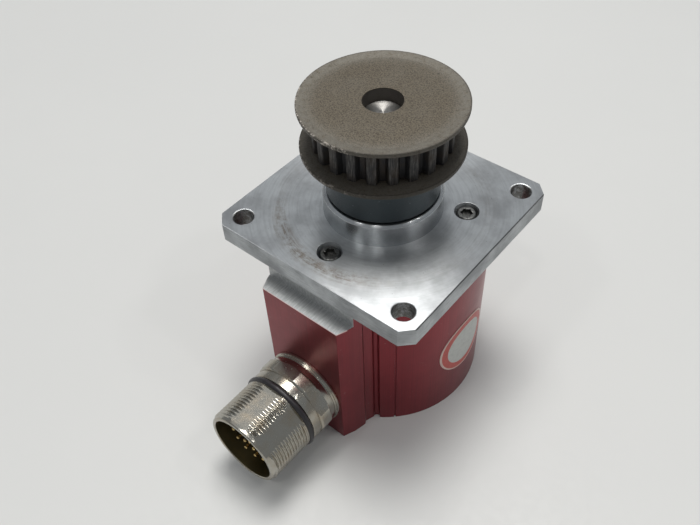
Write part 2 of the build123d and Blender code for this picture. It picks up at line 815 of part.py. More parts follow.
with BuildPart() as rear_cover:
    with BuildSketch(Plane.XY.offset(housing_bottom)):
        cavity_outline(cover_ledge - cover_gap)
    extrude(amount=cover_thickness)
    with BuildSketch(Plane.XY.offset(housing_bottom)):
        for angle in post_angles:
            with Locations(polar(post_circle, angle)):
                Circle(m3_radius + hole_gap)
    extrude(amount=cover_thickness, mode=Mode.SUBTRACT)
    screw_rims = rear_cover.edges().group_by(Axis.Z)[0].filter_by(GeomType.CIRCLE)
    screw_rims = screw_rims.filter_by(lambda e: abs(e.radius - m3_radius - hole_gap) < 0.01)
    chamfer(screw_rims, countersink_radius - m3_radius - hole_gap)
save(rear_cover.part, "rear_cover")

with BuildPart() as rear_cover_screws:
    for angle in post_angles:
        with BuildSketch(Plane.XY.offset(housing_bottom + hole_gap)):
            with Locations(polar(post_circle, angle)):
                Circle(post_stud_radius)
        extrude(amount=cover_screw_length)
        with BuildSketch(Plane.XY.offset(housing_bottom + hole_gap)):
            with Locations(polar(post_circle, angle)):
                Circle(countersink_radius - 2 * hole_gap)
        extrude(amount=countersink_radius - m3_radius, taper=45)
        with BuildSketch(Plane.XY.offset(housing_bottom + hole_gap)):
            with Locations(polar(post_circle, angle)):
                RegularPolygon(hex_key_radius, 6)
        extrude(amount=cover_key_depth, mode=Mode.SUBTRACT)
save(rear_cover_screws.part, "rear_cover_screws")


# Posts and boards
def posts(label, top, length):
    """Three hexagonal posts: a stud on the upper end, a threaded hole in the lower end."""
    with BuildPart() as group:
        for angle in post_angles:
            with BuildSketch(Plane.XY.offset(top - length)):
                with Locations(polar(post_circle, angle)):
                    RegularPolygon(post_flats / 2, 6, major_radius=False)
            extrude(amount=length)
            with BuildSketch(Plane.XY.offset(top)):
                with Locations(polar(post_circle, angle)):
                    Circle(post_stud_radius)
            extrude(amount=post_stud)
            with BuildSketch(Plane.XY.offset(top - length)):
                with Locations(polar(post_circle, angle)):
                    Circle(post_stud_radius + thread_gap)
            extrude(amount=post_stud + stud_hole_rest, mode=Mode.SUBTRACT)
    save(group.part, label)


posts("sensor_board_posts", carrier_bottom, carrier_bottom - sensor_board_top)
posts("main_board_posts", sensor_board_bottom, board_spacing)
posts("rear_cover_posts", main_board_bottom, main_board_bottom - cover_top)


def board(label, top, bore):
    """A round circuit board with a straight edge towards the connector."""
    with BuildPart() as plate:
        with BuildSketch(Plane.XY.offset(top - board_thickness)):
            Circle(board_radius)
            with Locations((0, -board_front - board_radius / 2)):
                Rectangle(2 * board_radius, board_radius, mode=Mode.SUBTRACT)
            for angle in post_angles:
                with Locations(polar(post_circle, angle)):
                    Circle(post_stud_radius + hole_gap, mode=Mode.SUBTRACT)
            if bore:
                Circle(bore, mode=Mode.SUBTRACT)
        extrude(amount=board_thickness)
    save(plate.part, label)


board("sensor_board", sensor_board_top, board_bore_radius)
board("main_board", main_board_top, 0)

# Code disc and its hub
with BuildPart() as disc_hub:
    with BuildSketch(Plane.XY.offset(disc_top)):
        Circle(disc_hub_radius)
    extrude(amount=disc_hub_length)
    with BuildSketch(Plane.XY.offset(disc_bottom)):
        Circle(disc_boss_radius)
    extrude(amount=disc_thickness)
    with BuildSketch(Plane.XY.offset(disc_bottom)):
        Circle(journal_radius)
    extrude(amount=disc_hub_length + disc_thickness, mode=Mode.SUBTRACT)
    with BuildSketch(Plane.XY.offset(disc_top)):
        with PolarLocations(clamp_screw_circle, 3):
            Circle(m1_radius + thread_gap)
    extrude(amount=clamp_screw_length - clamp_thickness, mode=Mode.SUBTRACT)
    with BuildSketch(Plane(origin=(0, 0, disc_middle), z_dir=(0, 1, 0))):
        Circle(m2_radius + thread_gap)
    extrude(amount=2 * disc_hub_radius, mode=Mode.SUBTRACT)
save(disc_hub.part, "disc_hub")

with BuildPart() as disc_hub_set_screw:
    with BuildSketch(Plane(origin=(0, journal_radius, disc_middle), z_dir=(0, 1, 0))):
        Circle(m2_radius)
    extrude(amount=disc_hub_radius - hub_screw_sink - journal_radius)
save(disc_hub_set_screw.part, "disc_hub_set_screw")

with BuildPart() as code_disc:
    with BuildSketch(Plane.XY.offset(disc_bottom)):
        Circle(disc_radius)
        Circle(disc_boss_radius + slide_gap, mode=Mode.SUBTRACT)
        with PolarLocations(clamp_screw_circle, 3):
            Circle(m1_radius + hole_gap, mode=Mode.SUBTRACT)
    extrude(amount=disc_thickness)
save(code_disc.part, "code_disc")

with BuildPart() as disc_clamp_ring:
    with BuildSketch(Plane.XY.offset(clamp_bottom)):
        Circle(disc_hub_radius)
        Circle(disc_boss_radius - clamp_bore_step, mode=Mode.SUBTRACT)
        with PolarLocations(clamp_screw_circle, 3):
            Circle(m1_radius + hole_gap, mode=Mode.SUBTRACT)
    extrude(amount=clamp_thickness)
save(disc_clamp_ring.part, "disc_clamp_ring")

with BuildPart() as disc_clamp_screws:
    with BuildSketch(Plane.XY.offset(clamp_bottom)):
        with PolarLocations(clamp_screw_circle, 3):
            Circle(m1_radius)
    extrude(amount=clamp_screw_length)
    with BuildSketch(Plane.XY.offset(clamp_bottom)):
        with PolarLocations(clamp_screw_circle, 3):
            Circle(m1_head_radius)
    extrude(amount=-m1_head_height)
save(disc_clamp_screws.part, "disc_clamp_screws")

# Light source and sensor
with BuildPart() as light_holder:
    with BuildSketch(holder_plane.offset(-holder_height)):
        Rectangle(holder_depth, holder_width)
        Circle(lamp_radius + slide_gap, mode=Mode.SUBTRACT)
        with Locations((0, holder_screw_spread), (0, -holder_screw_spread)):
            Circle(m2_radius + hole_gap, mode=Mode.SUBTRACT)
    extrude(amount=holder_height)
    with BuildSketch(holder_plane.offset(-lead_slot_depth)):
        for side in (-1, 1):
            with Locations((holder_depth / 2, side * lead_spread)):
                Rectangle(holder_depth, 4 * lead_radius)
    extrude(amount=lead_slot_depth, mode=Mode.SUBTRACT)
save(light_holder.part, "light_holder")

with BuildPart() as light_source:
    with BuildSketch(holder_plane.offset(-lead_slot_depth - end_gap)):
        Circle(lamp_radius)
    extrude(amount=-lamp_height)
save(light_source.part, "light_source")

with BuildPart() as collimator_lens:
    with BuildSketch(holder_plane.offset(-holder_height)):
        Circle(lamp_radius)
    extrude(amount=lens_height)
    fillet(collimator_lens.faces().sort_by(Axis.Z)[-1].edges(), lens_edge)
save(collimator_lens.part, "collimator_lens")

with BuildPart() as light_holder_screws:
    with BuildSketch(holder_plane.offset(-holder_height)):
        with Locations((0, holder_screw_spread), (0, -holder_screw_spread)):
            Circle(m2_radius)
    extrude(amount=holder_height + holder_screw_bite)
    with BuildSketch(holder_plane.offset(-holder_height)):
        with Locations((0, holder_screw_spread), (0, -holder_screw_spread)):
            Circle(m2_head_radius)
    extrude(amount=-m2_head_height)
save(light_holder_screws.part, "light_holder_screws")

lead_level = -lead_slot_depth / 2
lead_drop = sensor_board_top - barrel_end
with BuildPart() as light_source_leads:
    for side in (-1, 1):
        path_plane = Plane(
            origin=holder_plane.from_local_coords((0, side * lead_spread, 0)),
            x_dir=holder_plane.x_dir,
            z_dir=-holder_plane.y_dir,
        )
        with BuildLine(path_plane) as lead_path:
            FilletPolyline(
                (lead_start, lead_level),
                (lead_overhang, lead_level),
                (lead_overhang, lead_drop),
                radius=lead_bend,
            )
        with BuildSketch(Plane(origin=lead_path.line @ 0, z_dir=lead_path.line % 0)):
            Circle(lead_radius)
        sweep(path=lead_path.line)
save(light_source_leads.part, "light_source_leads")

with BuildPart() as sensor_chip:
    with BuildSketch(sensor_plane):
        Rectangle(chip_depth, chip_width)
    extrude(amount=chip_height)
save(sensor_chip.part, "sensor_chip")

with BuildPart() as reticle:
    with BuildSketch(sensor_plane.offset(chip_height)):
        Rectangle(reticle_depth, reticle_width)
    extrude(amount=reticle_height)
save(reticle.part, "reticle")

with BuildPart() as main_board_chips:
    with BuildSketch(Plane.XY.offset(main_board_top)):
        for x, y, width, depth in main_chips:
            with Locations((x, y)):
                Rectangle(width, depth)
    extrude(amount=main_chip_height)
save(main_board_chips.part, "main_board_chips")

with BuildPart() as main_board_capacitors:
    with BuildSketch(Plane.XY.offset(main_board_top)):
        with Locations(*capacitor_places):
            Circle(capacitor_radius)
    extrude(amount=capacitor_height)
    fillet(main_board_capacitors.edges().group_by(Axis.Z)[-1], capacitor_edge)
save(main_board_capacitors.part, "main_board_capacitors")

with BuildPart() as board_link:
    with BuildSketch(Plane.XY.offset(main_board_top)):
        with Locations(link_place):
            Rectangle(link_width, link_depth)
    extrude(amount=board_spacing)
save(board_link.part, "board_link")

# Connector
crest_half = thread_pitch / 8
flank = thread_pitch / 2 - crest_half
thread_start = ring_groove_front + thread_run_out
ring_middle = shoulder_front + ring_cord_radius
ring_floor = ring_centre_radius - ring_cord_radius
neck_groove = base_front + neck_groove_place
with BuildPart() as connector_shell:
    # Profile drawn with the reach from the shaft's axis along X and the radius along Y
    with BuildSketch(connector_profile):
        with BuildLine():
            outline = [
                (tail_end, tail_bore),
                (tail_end, tail_radius),
                (tower_reach, tail_radius),
                (tower_reach, base_seal_inner),
                (tower_reach + base_seal_depth, base_seal_inner),
                (tower_reach + base_seal_depth, base_seal_outer),
                (tower_reach, base_seal_outer),
                (tower_reach, base_radius),
                (base_front, base_radius),
                (base_front, neck_radius),
                (neck_groove, neck_radius),
                (neck_groove, neck_radius - neck_groove_depth),
                (neck_groove + neck_groove_width, neck_radius - neck_groove_depth),
                (neck_groove + neck_groove_width, neck_radius),
                (hex_back, neck_radius),
                (hex_back, hex_corner_radius - hex_edge),
                (hex_back + hex_edge, hex_corner_radius),
                (hex_front - hex_edge, hex_corner_radius),
                (hex_front, hex_corner_radius - hex_edge),
                (hex_front, shoulder_radius),
                (shoulder_front - turned_edge, shoulder_radius),
                (shoulder_front, shoulder_radius - turned_edge),
                (shoulder_front, ring_floor),
                (ring_groove_front, ring_floor),
                (ring_groove_front, thread_radius),
            ]
            for crest in range(thread_crests):
                middle = thread_start + (crest + 0.5) * thread_pitch
                outline += [
                    (middle - crest_half - flank, thread_radius),
                    (middle - crest_half, thread_radius - thread_depth),
                    (middle + crest_half, thread_radius - thread_depth),
                    (middle + crest_half + flank, thread_radius),
                ][0 if crest == 0 else 1:]
            outline += [
                (lip_back - turned_edge, thread_radius),
                (lip_back, lip_radius),
                (mouth - lip_edge, lip_radius),
                (mouth, lip_radius - lip_edge),
                (mouth, socket_radius + turned_edge),
                (mouth - turned_edge, socket_radius),
                (insert_front - insert_step, socket_radius),
                (insert_front - insert_step, tail_bore),
            ]
            Polyline(*outline, close=True)
        make_face()
    revolve(axis=connector_axis)
    # Wrench flats on the hexagon
    with BuildSketch(connector_side(hex_back)):
        Circle(hex_corner_radius + 1)
        RegularPolygon(hex_half_flats, 6, major_radius=False, rotation=hex_turn, mode=Mode.SUBTRACT)
    extrude(amount=hex_length, mode=Mode.SUBTRACT)
    # Flats that interrupt the thread
    for angle in thread_flat_angles:
        flat_width = 2 * sqrt(thread_radius**2 - thread_flat_radius**2)
        middle = polar(thread_flat_radius + thread_flat_depth, angle)
        with BuildSketch(connector_side(ring_groove_front)):
            with Locations(Location((*middle, 0), (0, 0, angle))):
                Rectangle(2 * thread_flat_depth, flat_width)
        extrude(amount=thread_length, mode=Mode.SUBTRACT)
save(connector_shell.part, "connector_shell")

with BuildPart() as connector_ring:
    with BuildSketch(connector_profile):
        with Locations((ring_middle, ring_centre_radius)):
            Circle(ring_cord_radius)
    revolve(axis=connector_axis)
save(connector_ring.part, "connector_ring")

with BuildPart() as connector_base_seal:
    with BuildSketch(connector_side(tower_reach)):
        Circle(base_seal_outer)
        Circle(base_seal_inner, mode=Mode.SUBTRACT)
    extrude(amount=base_seal_depth)
save(connector_base_seal.part, "connector_base_seal")

with BuildPart() as connector_nut:
    with BuildSketch(connector_side(tower_reach - tower_wall)):
        Circle(nut_radius)
        Circle(tail_radius + thread_gap, mode=Mode.SUBTRACT)
        with PolarLocations(nut_radius, nut_slots):
            Rectangle(2 * nut_slot_depth, nut_slot_width, mode=Mode.SUBTRACT)
    extrude(amount=-nut_length)
save(connector_nut.part, "connector_nut")

with BuildPart() as connector_insert:
    with BuildSketch(connector_side(insert_front - insert_step)):
        Circle(socket_radius - slide_gap)
    extrude(amount=insert_step)
    with BuildSketch(connector_side(board_end)):
        Circle(insert_tail_radius)
    extrude(amount=insert_front - insert_step - board_end)
    with BuildSketch(connector_side(board_end)):
        for count, radius, phase in zip(pin_ring_counts, pin_ring_radii, pin_ring_phases):
            with PolarLocations(radius, count, start_angle=phase):
                Circle(pin_radius + pin_gap)
    extrude(amount=insert_front - board_end, mode=Mode.SUBTRACT)
save(connector_insert.part, "connector_insert")

with BuildPart() as contact_pins:
    with BuildSketch(connector_side(pin_start)):
        for count, radius, phase in zip(pin_ring_counts, pin_ring_radii, pin_ring_phases):
            with PolarLocations(radius, count, start_angle=phase):
                Circle(pin_radius)
    extrude(amount=mouth - pin_tip_depth - pin_start)
    chamfer(contact_pins.edges().group_by(Axis.Y)[0], pin_edge)
save(contact_pins.part, "contact_pins")

with BuildPart() as connector_board:
    with BuildSketch(connector_side(board_end)):
        Circle(tail_board_radius)
        for count, radius, phase in zip(pin_ring_counts, pin_ring_radii, pin_ring_phases):
            with PolarLocations(radius, count, start_angle=phase):
                Circle(pin_radius + slide_gap, mode=Mode.SUBTRACT)
    extrude(amount=-tail_board_thickness)
save(connector_board.part, "connector_board")

# A flat ribbon from the connector's board to the header under the main board
header_front = -board_front
ribbon_y = tail_board_thickness - board_end
with BuildPart() as ribbon_header:
    with BuildSketch(Plane.XY.offset(main_board_bottom)):
        with Locations((0, header_front + header_depth / 2)):
            Rectangle(header_width, header_depth)
    extrude(amount=-header_height)
    with BuildSketch(Plane.XY.offset(header_level - ribbon_sheet / 2 - hole_gap)):
        with Locations((0, header_front)):
            Rectangle(ribbon_width + 2 * hole_gap, header_depth)
    extrude(amount=ribbon_sheet + 2 * hole_gap, mode=Mode.SUBTRACT)
save(ribbon_header.part, "ribbon_header")

with BuildPart() as ribbon_cable:
    with BuildSketch(Plane.YZ.offset(-ribbon_width / 2)):
        with BuildLine() as ribbon_path:
            FilletPolyline(
                (ribbon_y, ribbon_level),
                (ribbon_y + ribbon_run, ribbon_level),
                (header_front - ribbon_lead_in, header_level),
                (header_front + header_depth / 2 - end_gap, header_level),
                radius=ribbon_bend,
            )
        trace(ribbon_path.line, line_width=ribbon_sheet)
    extrude(amount=ribbon_width)
    split(bisect_by=Plane(origin=(0, ribbon_y, 0), z_dir=(0, 1, 0)), keep=Keep.TOP)
save(ribbon_cable.part, "ribbon_cable")

# Label
with BuildPart() as round_label:
    with BuildSketch(Plane.XY.offset(label_level - label_radius)):
        Circle(housing_radius + label_thickness)
        Circle(housing_radius, mode=Mode.SUBTRACT)
    extrude(amount=2 * label_radius)
    with BuildSketch(Plane.YZ.offset(housing_radius / 2)):
        with Locations((0, label_level)):
            Circle(label_radius)
    extrude(amount=housing_radius, mode=Mode.INTERSECT)
save(round_label.part, "round_label")
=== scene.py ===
import json
import math

import bmesh
import bpy
import numpy as np
from mathutils import Matrix, Vector

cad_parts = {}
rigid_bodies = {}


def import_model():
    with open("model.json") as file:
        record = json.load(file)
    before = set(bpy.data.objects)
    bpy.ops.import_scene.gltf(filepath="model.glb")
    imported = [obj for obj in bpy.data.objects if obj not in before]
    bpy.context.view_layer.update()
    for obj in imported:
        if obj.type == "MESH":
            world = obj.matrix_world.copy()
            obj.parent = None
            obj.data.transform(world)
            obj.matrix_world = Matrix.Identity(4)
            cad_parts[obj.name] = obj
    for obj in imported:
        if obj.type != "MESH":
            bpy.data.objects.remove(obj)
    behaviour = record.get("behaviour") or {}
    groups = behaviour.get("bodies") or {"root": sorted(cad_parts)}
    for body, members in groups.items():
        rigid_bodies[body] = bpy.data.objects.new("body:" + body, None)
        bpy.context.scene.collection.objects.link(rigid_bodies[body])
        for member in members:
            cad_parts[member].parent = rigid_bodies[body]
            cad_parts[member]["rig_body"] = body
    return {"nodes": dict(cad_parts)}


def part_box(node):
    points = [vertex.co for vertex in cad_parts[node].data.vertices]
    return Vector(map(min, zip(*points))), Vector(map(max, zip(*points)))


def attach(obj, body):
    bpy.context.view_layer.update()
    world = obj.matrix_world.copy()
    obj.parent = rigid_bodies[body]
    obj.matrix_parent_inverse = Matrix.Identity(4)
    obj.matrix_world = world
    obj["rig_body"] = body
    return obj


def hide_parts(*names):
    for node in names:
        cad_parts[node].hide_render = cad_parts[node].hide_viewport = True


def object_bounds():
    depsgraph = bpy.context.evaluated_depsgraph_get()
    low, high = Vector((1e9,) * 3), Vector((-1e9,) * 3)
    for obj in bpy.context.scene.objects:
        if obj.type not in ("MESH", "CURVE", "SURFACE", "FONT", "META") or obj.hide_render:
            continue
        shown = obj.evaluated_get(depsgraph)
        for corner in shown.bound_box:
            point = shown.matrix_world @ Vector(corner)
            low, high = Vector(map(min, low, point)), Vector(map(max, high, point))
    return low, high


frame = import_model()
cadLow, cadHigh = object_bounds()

# Looks of a rotary encoder with a square flange, a toothed pulley and a round connector.
# Lengths in the piece settings are millimetres, angles degrees; Blender gets metres.
mm = 0.001
nodes = frame["nodes"]
print("frame loaded,", len(nodes), "nodes")


class Wire:
    # One socket of a material, so that shader maths reads as plain expressions
    def __init__(self, finish, socket):
        self.finish = finish
        self.socket = socket

    def sums(self, operation, left, right):
        kinds = [side.socket.type for side in (left, right) if isinstance(side, Wire)]
        if "RGBA" in kinds:  # colours go through Mix, which keeps them coloured
            settings = {"data_type": "RGBA", "blend_type": operation}
            return self.finish.node("ShaderNodeMix", settings, {0: 1.0, 6: left, 7: right}, 2)
        if "VECTOR" in kinds:
            return self.finish.node("ShaderNodeVectorMath", {"operation": operation}, {0: left, 1: right})
        return self.finish.node("ShaderNodeMath", {"operation": operation}, {0: left, 1: right})

    def __add__(self, other):
        return self.sums("ADD", self, other)

    def __radd__(self, other):
        return self.sums("ADD", other, self)

    def __sub__(self, other):
        return self.sums("SUBTRACT", self, other)

    def __rsub__(self, other):
        return self.sums("SUBTRACT", other, self)

    def __mul__(self, other):
        return self.sums("MULTIPLY", self, other)

    def __rmul__(self, other):
        return self.sums("MULTIPLY", other, self)

    def __gt__(self, other):
        return self.sums("GREATER_THAN", self, other)

    def __abs__(self):
        return self.finish.node("ShaderNodeMath", {"operation": "ABSOLUTE"}, {0: self})


class Finish:
    # One material and the calls that add its nodes
    def __init__(self, name):
        self.material = bpy.data.materials.new(name)
        self.material.use_nodes = True
        self.tree = self.material.node_tree
        self.tree.nodes.clear()
        self.place = self.node("ShaderNodeTexCoord", out="Object") * 1000.0  # in millimetres
        self.x, self.y, self.z = self.parts(self.place)

    def node(self, kind, settings=None, sockets=None, out=0):
        made = self.tree.nodes.new(kind)
        for key, value in (settings or {}).items():
            setattr(made, key, value)
        for key, value in (sockets or {}).items():
            self.feed(made.inputs[key], value)
        return Wire(self, made.outputs[out]) if len(made.outputs) else None

    def feed(self, socket, value):
        if isinstance(value, Wire):
            self.tree.links.new(value.socket, socket)
        elif socket.type == "RGBA":
            socket.default_value = (*value, 1.0) if hasattr(value, "__len__") else (value, value, value, 1.0)
        elif socket.type == "VECTOR":
            socket.default_value = value if hasattr(value, "__len__") else (value, value, value)
        else:
            socket.default_value = value

    def parts(self, vector):
        split = self.node("ShaderNodeSeparateXYZ", sockets={0: vector})
        return [split] + [Wire(self, split.socket.node.outputs[i]) for i in (1, 2)]

    def facing(self):
        return self.parts(self.node("ShaderNodeTexCoord", out="Normal"))

    def vector(self, a, b):
        return self.node("ShaderNodeCombineXYZ", {}, {0: a, 1: b})

    def far(self, a, b):
        return self.node("ShaderNodeMath", {"operation": "POWER"}, {0: a * a + b * b, 1: 0.5})

    def angle(self, a, b):
        return self.node("ShaderNodeMath", {"operation": "ARCTAN2"}, {0: a, 1: b})

    def stretched(self, sx, sy, sz):
        return self.place * (sx, sy, sz)

    def noise(self, scale, detail=2.0, rough=0.5, at=None):
        sockets = {"Vector": at or self.place, "Scale": scale, "Detail": detail, "Roughness": rough}
        return self.node("ShaderNodeTexNoise", {}, sockets)

    def rings(self, along, scale, detail=2.0):
        sockets = {"W": along, "Scale": scale, "Detail": detail}
        return self.node("ShaderNodeTexNoise", {"noise_dimensions": "1D"}, sockets)

    def span(self, value, low, high):
        # 0 at low and 1 at high, eased at both ends
        sockets = {"Value": value, "From Min": low, "From Max": high}
        return self.node("ShaderNodeMapRange", {"interpolation_type": "SMOOTHSTEP"}, sockets)

    def mix(self, factor, a, b):
        return self.node("ShaderNodeMix", {"data_type": "RGBA"}, {0: factor, 6: a, 7: b}, 2)

    def bump(self, height, depth, under=None):
        sockets = {"Height": height, "Distance": depth * mm, "Strength": 1.0}
        if under is not None:
            sockets["Normal"] = under
        return self.node("ShaderNodeBump", {}, sockets)

    def surface(self, sockets):
        shader = self.node("ShaderNodeBsdfPrincipled", {}, sockets)
        self.node("ShaderNodeOutputMaterial", {}, {"Surface": shader})
        return self.material


plateLook = {"colour": (0.60, 0.62, 0.63), "dull": (0.40, 0.41, 0.42), "stain": (0.20, 0.145, 0.095),
             "stainRadius": 27.6, "stainWidth": 3.2, "stainTurn": -1.75, "stainSpread": 1.0,
             "pilotRadius": 15.9, "holeSpacing": 26.2, "holeRadius": 3.1, "edge": 31.5,
             "turning": 0.0035, "rough": 0.36, "brushed": 0.8}


def turnedPlate(look):
    f = Finish("turnedPlate")
    upwards = f.facing()[2]
    radius = f.far(f.x, f.y)
    turn = f.angle(f.y, f.x)
    top = f.span(upwards, 0.6, 0.9)
    pilot = f.span(radius, look["pilotRadius"] + 0.15, look["pilotRadius"]) * f.span(f.z, 0.0, 0.05)
    cloud = f.noise(0.09, 4.0, 0.6)
    arcs = f.noise(1.0, 4.0, 0.65, f.vector(radius * 1.5, turn * 2.2))  # streaks that follow the turning
    colour = f.mix(f.span(cloud, 0.35, 0.7), look["colour"], look["dull"])
    colour = f.mix(top * f.span(arcs, 0.40, 0.72) * 0.35, colour, (0.33, 0.34, 0.345))
    # a brown mark left by a bracket's bore, part of a ring round the pilot
    band = f.span(abs(radius - look["stainRadius"]), look["stainWidth"], 0.2)
    where = f.span(abs(turn - look["stainTurn"]), look["stainSpread"], 0.3)
    blots = f.span(f.noise(0.5, 5.0, 0.7), 0.36, 0.62)
    mark = band * (where * 0.85 + 0.15) * f.span(arcs, 0.30, 0.60) * blots * top * (1.0 - pilot)
    colour = f.mix(mark * 0.75, colour, look["stain"])
    nicks = f.span(f.noise(1.6, 2.0, 0.4), 0.72, 0.76) * top
    colour = f.mix(nicks * 0.5, colour, (0.1, 0.1, 0.1))
    # the walls inside the screw holes are darkened in blotches
    fromHole = f.far(abs(f.x) - look["holeSpacing"], abs(f.y) - look["holeSpacing"])
    hole = f.span(fromHole, look["holeRadius"], look["holeRadius"] - 0.1) * (1.0 - top)
    holeBlotches = f.span(f.noise(1.1, 4.0, 0.7), 0.3, 0.6)
    colour = f.mix(hole * holeBlotches * 0.8, colour, (0.12, 0.105, 0.09))
    side = (1.0 - top) * (1.0 - pilot)
    streak = f.noise(1.0, 3.0, 0.6, f.stretched(0.35, 0.35, 3.0))
    colour = f.mix(side * f.span(streak, 0.42, 0.75) * 0.45, colour, (0.25, 0.255, 0.25))
    line = f.span(f.x, look["edge"] - 0.05, look["edge"] + 0.08) * f.span(f.z, -0.34, -0.22)
    colour = f.mix(line * 0.85, colour, (0.05, 0.05, 0.05))
    rough = look["rough"] + f.span(cloud, 0.3, 0.7) * 0.10 + side * 0.14 + mark * 0.2 - pilot * 0.20
    fine = f.rings(radius, 3.2, 4.0) * (top * (1.0 - pilot * 0.7))
    milled = f.noise(2.2, 3.0, 0.6, f.stretched(1.0, 1.0, 0.3)) * side
    upright = f.noise(1.0, 3.0, 0.6, f.vector(turn * 22.0, f.z * 0.05)) * pilot * (1.0 - top)
    normal = f.bump(fine, look["turning"], f.bump(milled, 0.03, f.bump(upright, 0.02)))
    return f.surface({"Base Color": colour, "Metallic": 1.0, "Roughness": rough, "Normal": normal,
                      "Anisotropic": look["brushed"], "Anisotropic Rotation": 0.25})


anodisedLook = {"colour": (0.235, 0.017, 0.026), "deep": (0.13, 0.011, 0.017), "bare": (0.55, 0.56, 0.56),
                "floorLevel": -10.8, "wallReach": -30.5}


def redAnodised(look):
    f = Finish("redAnodised")
    floor, wall = look["floorLevel"], look["wallReach"]
    lines = f.noise(1.0, 3.0, 0.55, f.stretched(3.4, 3.4, 0.03))
    cloud = f.noise(0.07, 3.0, 0.6)
    darker = f.span(lines, 0.3, 0.7) * 0.35 + f.span(cloud, 0.3, 0.7) * 0.3
    colour = f.mix(darker, look["colour"], look["deep"])
    # the notch was milled after the colour went on, so its floor and wall are bare
    notch = f.span(f.z, floor - 0.04, floor - 0.01) * f.span(f.y, wall + 0.05, wall)
    # a pale pinkish line along the notch's outer edge: partly colour worn off, partly a painted highlight
    wornAndHighlitEdge = f.span(f.z, floor - 0.40, floor - 0.24) * f.span(f.y, wall - 1.6, wall - 2.0)
    brush = f.noise(1.0, 4.0, 0.7, f.stretched(3.0, 0.25, 1.0))
    bare = f.mix(f.span(brush, 0.3, 0.75), look["bare"], (0.36, 0.37, 0.37))
    colour = f.mix(wornAndHighlitEdge * 0.9, colour, (0.86, 0.66, 0.64))
    colour = f.mix(notch, colour, bare)
    specks = f.span(f.noise(0.9, 1.0, 0.4), 0.74, 0.78)
    colour = f.mix(specks * 0.12, colour, (0.5, 0.35, 0.33))
    metal = 0.82 + notch * 0.18 - wornAndHighlitEdge * (1.0 - notch) * 0.7
    rough = 0.34 + f.span(cloud, 0.2, 0.8) * 0.08 + notch * 0.16
    normal = f.bump(lines, 0.012, f.bump(f.noise(14.0, 2.0, 0.5), 0.002))
    return f.surface({"Base Color": colour, "Metallic": metal, "Roughness": rough, "Normal": normal,
                      "Coat Weight": 0.25, "Coat Roughness": 0.25})


# the 'inside' colour is painted shade and a painted reflection on the socket's inner wall
nickelLook = {"colour": (0.42, 0.405, 0.36), "warm": (0.36, 0.31, 0.24), "inside": (0.13, 0.108, 0.055),
              "socketRadius": 9.95}


def nickelPlate(look, axisLevel, name="nickelPlate", dulled=0.0):
    f = Finish(name)
    off = f.far(f.x, f.z - axisLevel)
    turned = f.rings(f.y, 2.6, 3.0)
    cloud = f.noise(0.22, 4.0, 0.6)
    colour = f.mix(f.span(cloud, 0.35, 0.75), look["colour"], look["warm"])
    # the socket's inner wall is painted dark olive-brown: painted shade and a painted reflection of the dark
    # insert
    inside = f.span(off, look["socketRadius"] + 0.02, look["socketRadius"] - 0.02)
    colour = f.mix(inside, colour, look["inside"])
    spots = f.span(f.noise(1.5, 2.0, 0.5), 0.68, 0.75)
    colour = f.mix(spots * 0.35, colour, (0.22, 0.19, 0.15))
    rough = 0.18 + dulled + f.span(cloud, 0.3, 0.8) * 0.12 + spots * 0.2 + inside * 0.25
    normal = f.bump(turned, 0.006, f.bump(f.noise(1.2, 3.0, 0.6), 0.010))
    return f.surface({"Base Color": colour, "Metallic": 1.0, "Roughness": rough, "Normal": normal})


sheetLook = {"colour": (0.142, 0.120, 0.088), "pale": (0.20, 0.19, 0.165), "dark": (0.052, 0.043, 0.032),
             "bendRadius": 18.0, "edgeRadius": 20.7}


def sheetTone(f, look):
    # brown oxidised sheet with a fine sandy speckle, greyer towards its bent edge
    radius = f.far(f.x, f.y)
    grain = f.noise(2.6, 5.0, 0.8)
    patch = f.noise(0.13, 4.0, 0.65)
    colour = f.mix(f.span(grain, 0.44, 0.62), look["colour"], look["dark"])
    colour = f.mix(f.span(patch, 0.4, 0.7) * 0.12, colour, look["pale"])
    band = f.span(radius, look["bendRadius"] - 2.6, look["bendRadius"] + 1.4)
    colour = f.mix(band * f.span(f.noise(0.7, 4.0, 0.7), 0.2, 0.6) * 0.6, colour, look["pale"])
    glints = f.span(f.noise(5.2, 2.0, 0.6), 0.64, 0.72)
    colour = f.mix(glints * 0.55, colour, (0.40, 0.36, 0.30))
    pits = f.span(f.noise(1.0, 3.0, 0.6), 0.66, 0.73)
    colour = f.mix(pits * 0.6, colour, (0.028, 0.022, 0.018))
    rough = 0.50 + f.span(grain, 0.3, 0.7) * 0.16 - glints * 0.15
    return colour, rough, grain


def wornSheet(look, name, darker=0.0):
    f = Finish(name)
    colour, rough, grain = sheetTone(f, look)
    radius = f.far(f.x, f.y)
    edge = f.span(radius, look["edgeRadius"] - 0.55, look["edgeRadius"] - 0.15)
    chips = f.span(f.noise(0.9, 4.0, 0.8), 0.50, 0.60) * f.span(abs(f.angle(f.y, f.x) + 2.2), 1.3, 0.4)
    # a dark line round the rim's outer edge: painted shade
    colour = f.mix(edge * 0.6, colour, (0.045, 0.038, 0.032))
    colour = f.mix(edge * chips, colour, (0.55, 0.50, 0.44))
    # the bottom rim's copy is darkened all over: painted shade
    if darker:
        colour = f.mix(darker, colour, (0.022, 0.018, 0.014))
    normal = f.bump(grain, 0.06, f.bump(f.noise(6.0, 2.0, 0.6), 0.02))
    return f.surface({"Base Color": colour, "Metallic": 0.5, "Roughness": rough, "Normal": normal})


# 'light' is the colour of the tooth tips: partly worn metal, partly a painted highlight
oxideLook = {"colour": (0.030, 0.030, 0.032), "light": (0.105, 0.10, 0.095), "brown": (0.040, 0.031, 0.024),
             "hub": (0.046, 0.060, 0.068), "tipRadius": 17.5, "hubTop": 20.2, "topLevel": 32.8}


